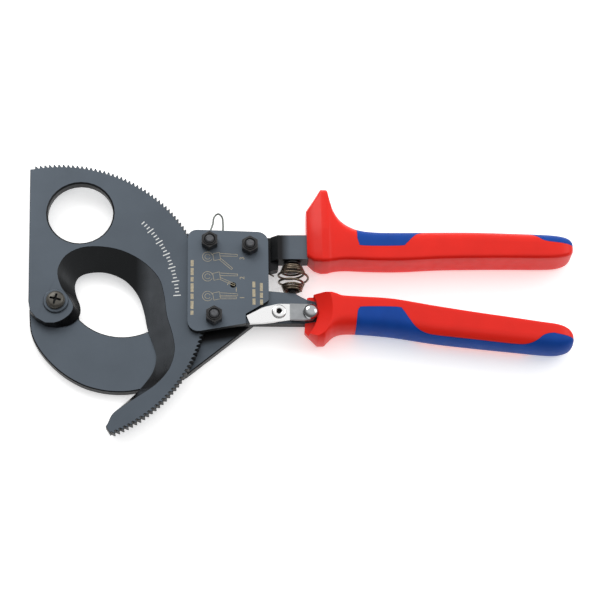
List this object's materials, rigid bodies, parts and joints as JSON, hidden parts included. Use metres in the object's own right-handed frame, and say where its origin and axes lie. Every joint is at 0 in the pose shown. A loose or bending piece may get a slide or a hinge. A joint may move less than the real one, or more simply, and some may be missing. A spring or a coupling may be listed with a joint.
{
  "type": "ratchet cable cutter",
  "caption": "One-handed ratchet cable cutter with two hooked blades, a toothed ring, return spring, lock lever and moulded handles.",
  "frame": {"origin": "on the blade pivot axis, on the flush back face of the pivot nut, which is also the plane the tool lies on", "axes": "+X from the blade pivot towards the ends of the handles, +Y towards the side of the fixed handle and its tall thumb guard, +Z out of the front of the tool, along every hinge"},
  "size_m": [0.2792, 0.1463, 0.0194],
  "materials": {
    "blade_steel": "fine satin ground steel",
    "tang_steel": "dark satin steel",
    "black_steel": "black oxide steel",
    "spring_steel": "dark bronze tempered spring steel",
    "bright_steel": "bright nickel plate",
    "screw_steel": "plain turned steel",
    "red_plastic": "satin moulded plastic",
    "blue_soft": "fine-grained soft inlay"
  },
  "bodies": {
    "head_and_fixed_handle": {"blade_pivot_bush": "screw_steel", "blade_pivot_nut": "black_steel", "blade_pivot_screw": "screw_steel", "body_front_bolt": "black_steel", "body_front_nut": "black_steel", "body_rear_bolt": "black_steel", "body_rear_nut": "black_steel", "cover_plate": "blade_steel", "fixed_blade": "blade_steel", "handle_pivot_bolt": "black_steel", "handle_pivot_nut": "black_steel", "pawl_spring": "spring_steel", "return_spring": "spring_steel", "upper_grip": "red_plastic", "upper_grip_inset": "blue_soft", "upper_spring_peg": "black_steel", "upper_tang": "tang_steel"},
    "moving_blade": {"moving_blade": "blade_steel"},
    "moving_handle": {"lower_tang": "tang_steel", "lower_grip": "red_plastic", "lower_grip_inset": "blue_soft", "lower_spring_peg": "black_steel", "drive_pawl_pin": "bright_steel", "lock_lever_rivet": "bright_steel"},
    "lock_lever": {"lock_lever": "bright_steel", "lock_lever_knob": "bright_steel"},
    "drive_pawl": {"drive_pawl": "tang_steel"},
    "retaining_pawl": {"retaining_pawl": "tang_steel", "release_wire": "spring_steel"}
  },
  "joints": [
    {"name": "blade_pivot", "type": "hinge", "parent": "head_and_fixed_handle", "child": "moving_blade", "pos_m": [0, 0, 0.0078], "axis": [0, 0, 1], "range_deg": [-27, 108]},
    {"name": "handle_pivot", "type": "hinge", "parent": "head_and_fixed_handle", "child": "moving_handle", "pos_m": [0.0797, -0.0098, 0.0078], "axis": [0, 0, 1], "range_deg": [-38, 1], "deforming": ["return_spring"]},
    {"name": "lock_lever_pivot", "type": "hinge", "parent": "moving_handle", "child": "lock_lever", "pos_m": [0.1124, -0.0065, 0.0118], "axis": [0, 0, 1], "range_deg": [0, 19.9]},
    {"name": "drive_pawl_pivot", "type": "hinge", "parent": "moving_handle", "child": "drive_pawl", "pos_m": [0.0893, 0.0075, 0.0089], "axis": [0, 0, 1], "range_deg": [-4.5, 4]},
    {"name": "retaining_pawl_pivot", "type": "hinge", "parent": "head_and_fixed_handle", "child": "retaining_pawl", "pos_m": [0.0774, 0.0309, 0.0089], "axis": [0, 0, 1], "range_deg": [-4, 8]}
  ]
}
